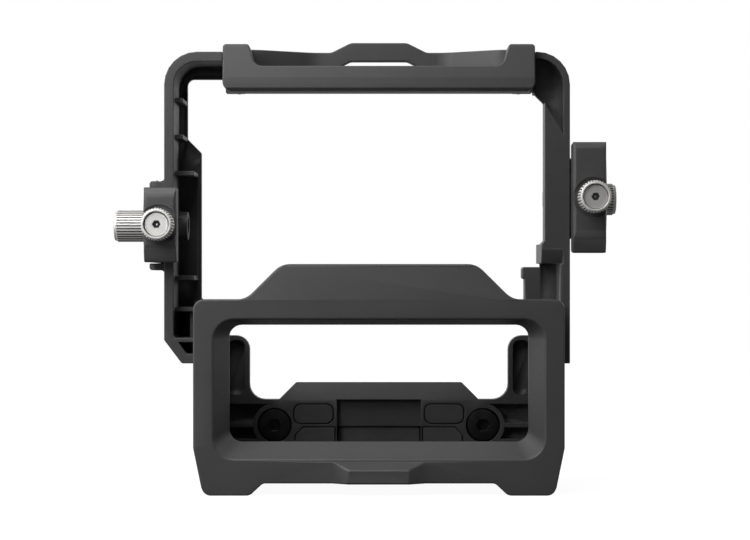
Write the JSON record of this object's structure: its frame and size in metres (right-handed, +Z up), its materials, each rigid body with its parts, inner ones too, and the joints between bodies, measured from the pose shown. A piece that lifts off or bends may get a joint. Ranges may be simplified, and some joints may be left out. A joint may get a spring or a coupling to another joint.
{
  "type": "transmitter cage",
  "caption": "Cage for a wireless video transmitter: windowed lower cradle, side rails with hinged thumbscrew blocks, top bar with a strap loop.",
  "frame": {"origin": "on the surface that the feet stand on, under the middle of the whole object's box", "axes": "+X to the right seen from the front, +Y from the bezel to the rear plate, +Z up"},
  "size_m": [0.1778, 0.057, 0.1593],
  "materials": {
    "shell": "fine moulded texture",
    "dark_shell": "fine moulded texture",
    "pad": "matte",
    "black_steel": "black oxide",
    "steel": "turned and knurled",
    "brass": "machined"
  },
  "bodies": {
    "cage": {"front_bezel": "shell", "base_tray": "dark_shell", "rear_plate": "dark_shell", "oval_pads": "pad", "lower_pads": "pad", "centre_pad": "pad", "screw_rings": "steel", "bezel_screws": "black_steel", "plate_screws": "black_steel", "left_rail": "dark_shell", "right_rail": "dark_shell", "rail_screws": "black_steel", "top_bar": "shell", "rear_bar": "shell", "top_bar_screws": "black_steel", "left_hinge_pin": "steel", "right_hinge_pin": "steel", "rail_inserts": "brass"},
    "left_swing_block": {"left_block": "shell", "block_inserts_left": "brass"},
    "right_swing_block": {"right_block": "shell", "block_inserts_right": "brass"},
    "left_front_thumbscrew": {"left_front_knob": "steel", "left_front_screw": "steel"},
    "left_side_thumbscrew": {"left_side_knob": "steel", "left_side_screw": "steel"},
    "right_front_thumbscrew": {"right_front_knob": "steel", "right_front_screw": "steel"},
    "right_side_thumbscrew": {"right_side_knob": "steel", "right_side_screw": "steel"},
    "left_captive_screw": {"rear_screw_left": "black_steel"},
    "right_captive_screw": {"rear_screw_right": "black_steel"}
  },
  "joints": [
    {"name": "left_block_swing", "type": "hinge", "parent": "cage", "child": "left_swing_block", "pos_m": [-0.0734, 0.0093, 0.0934], "axis": [0, 0, -1], "range_deg": [0, 95]},
    {"name": "right_block_swing", "type": "hinge", "parent": "cage", "child": "right_swing_block", "pos_m": [0.0749, 0.0093, 0.1029], "axis": [0, 0, 1], "range_deg": [0, 95]},
    {"name": "left_front_turn", "type": "hinge", "parent": "left_swing_block", "child": "left_front_thumbscrew", "pos_m": [-0.0714, -0.0205, 0.0934], "axis": [0, -1, 0], "continuous": true},
    {"name": "left_side_turn", "type": "hinge", "parent": "left_swing_block", "child": "left_side_thumbscrew", "pos_m": [-0.0761, -0.0005, 0.0934], "axis": [-1, 0, 0], "continuous": true},
    {"name": "right_front_turn", "type": "hinge", "parent": "right_swing_block", "child": "right_front_thumbscrew", "pos_m": [0.0792, -0.0205, 0.1029], "axis": [0, -1, 0], "continuous": true},
    {"name": "right_side_turn", "type": "hinge", "parent": "right_swing_block", "child": "right_side_thumbscrew", "pos_m": [0.0771, -0.0005, 0.1029], "axis": [1, 0, 0], "continuous": true},
    {"name": "left_captive_turn", "type": "hinge", "parent": "cage", "child": "left_captive_screw", "pos_m": [-0.0331, 0.0195, 0.0213], "axis": [0, -1, 0], "continuous": true},
    {"name": "right_captive_turn", "type": "hinge", "parent": "cage", "child": "right_captive_screw", "pos_m": [0.0429, 0.0195, 0.0213], "axis": [0, -1, 0], "continuous": true}
  ]
}
